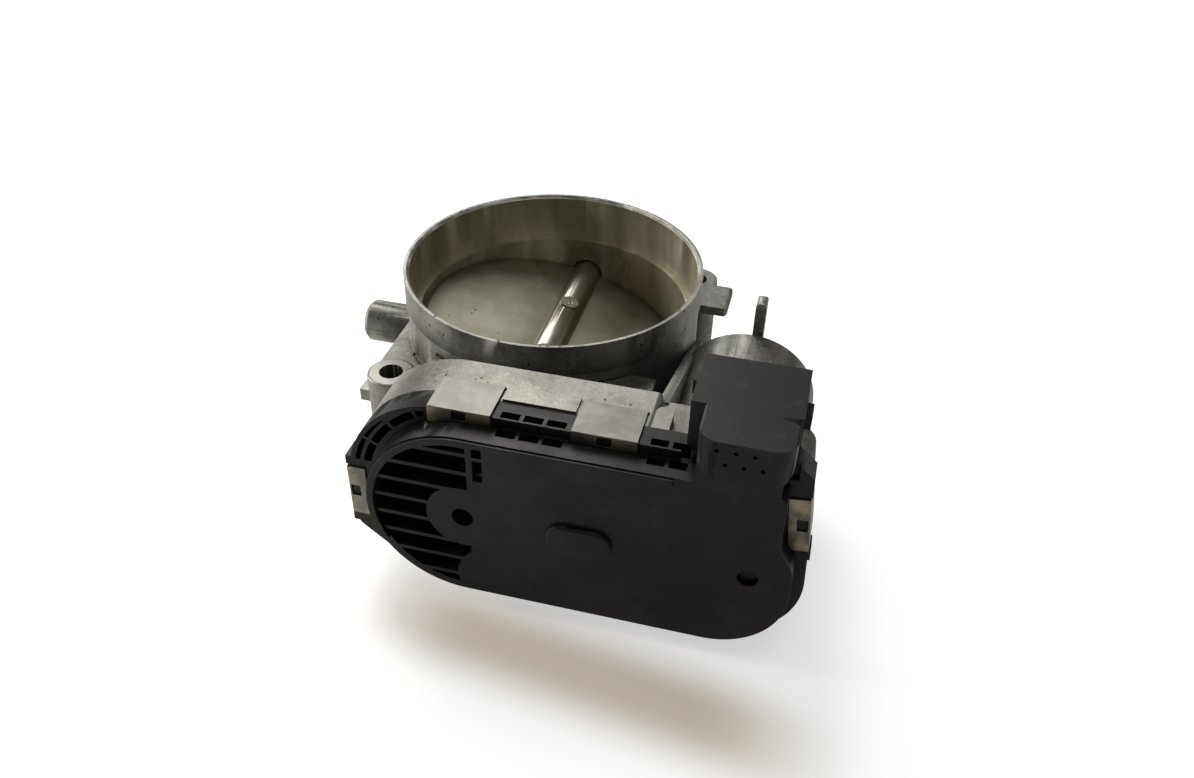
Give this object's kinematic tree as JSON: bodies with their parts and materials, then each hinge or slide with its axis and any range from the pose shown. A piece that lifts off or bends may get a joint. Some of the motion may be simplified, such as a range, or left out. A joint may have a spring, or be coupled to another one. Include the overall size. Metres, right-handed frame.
{
  "type": "electronic throttle body",
  "caption": "Electronic throttle body: a cast tube with a butterfly plate, turned by a side-mounted motor through gears under a clipped plastic cover with a socket.",
  "frame": {"origin": "bore axis at the outlet flange face, in the middle of the bolt pattern", "axes": "+Z along the bore towards the inlet collar, -Y towards the gear cover, +X towards the motor"},
  "size_m": [0.15, 0.1496, 0.0758],
  "materials": {
    "cast_aluminium": "as cast, grit blasted, lightly oil stained",
    "black_plastic": "moulded glass-filled plastic, low gloss",
    "seal_rubber": "moulded",
    "clip_steel": "bright spring steel",
    "plate_metal": "rolled, stained by blow-by oil",
    "shaft_steel": "ground",
    "screw_steel": "zinc plated",
    "gear_plastic": "natural moulded",
    "circuit_board": "solder masked",
    "contact_metal": "tinned strip",
    "magnet_ferrite": "pressed ferrite",
    "spring_steel": "oiled wire",
    "bearing_steel": "ground",
    "can_steel": "deep drawn, zinc plated",
    "bush_bronze": "sintered",
    "winding_copper": "enamelled wire on laminations",
    "commutator_copper": "turned copper",
    "carbon": "pressed carbon"
  },
  "bodies": {
    "body": {"housing": "cast_aluminium", "cover": "black_plastic", "cover_seal": "seal_rubber", "cover_clips": "clip_steel", "connector_pins": "contact_metal", "sensor_board": "circuit_board", "motor_contacts": "contact_metal", "return_spring": "spring_steel", "front_bearing": "bearing_steel", "rear_bearing": "bearing_steel", "front_shaft_seal": "seal_rubber", "rear_shaft_seal": "seal_rubber", "rear_plug": "can_steel", "idler_pin": "shaft_steel", "motor_can": "can_steel", "motor_end_plate": "black_plastic", "motor_screws": "screw_steel", "motor_magnets": "magnet_ferrite", "motor_brushes": "carbon", "motor_rear_bush": "bush_bronze", "motor_front_bush": "bush_bronze", "motor_wave_washer": "spring_steel"},
    "throttle": {"throttle_shaft": "shaft_steel", "throttle_plate": "plate_metal", "plate_screws": "screw_steel", "sector_gear": "gear_plastic", "sensor_magnet": "magnet_ferrite"},
    "idler": {"idler_gear": "gear_plastic"},
    "rotor": {"motor_shaft": "shaft_steel", "motor_armature": "winding_copper", "motor_commutator": "commutator_copper", "motor_pinion": "bush_bronze"}
  },
  "joints": [
    {"name": "throttle_turn", "type": "hinge", "parent": "body", "child": "throttle", "pos_m": [0, 0, 0.0325], "axis": [0, 1, 0], "range_deg": [-7.1, 77.4], "stiffness_Nm_per_rad": 0.15, "deforming": ["return_spring"]},
    {"name": "idler_turn", "type": "hinge", "parent": "body", "child": "idler", "pos_m": [0.032, 0, 0.0325], "axis": [0, 1, 0], "range_deg": [-254.84, 25.19]},
    {"name": "motor_turn", "type": "hinge", "parent": "body", "child": "rotor", "pos_m": [0.0624, 0, 0.0325], "axis": [0, 1, 0], "range_deg": [-117.4, 1230.3]}
  ],
  "couplings": [
    {"joint": "idler_turn", "follows": "throttle_turn", "ratio": -3.2667},
    {"joint": "motor_turn", "follows": "throttle_turn", "ratio": 15.831}
  ]
}
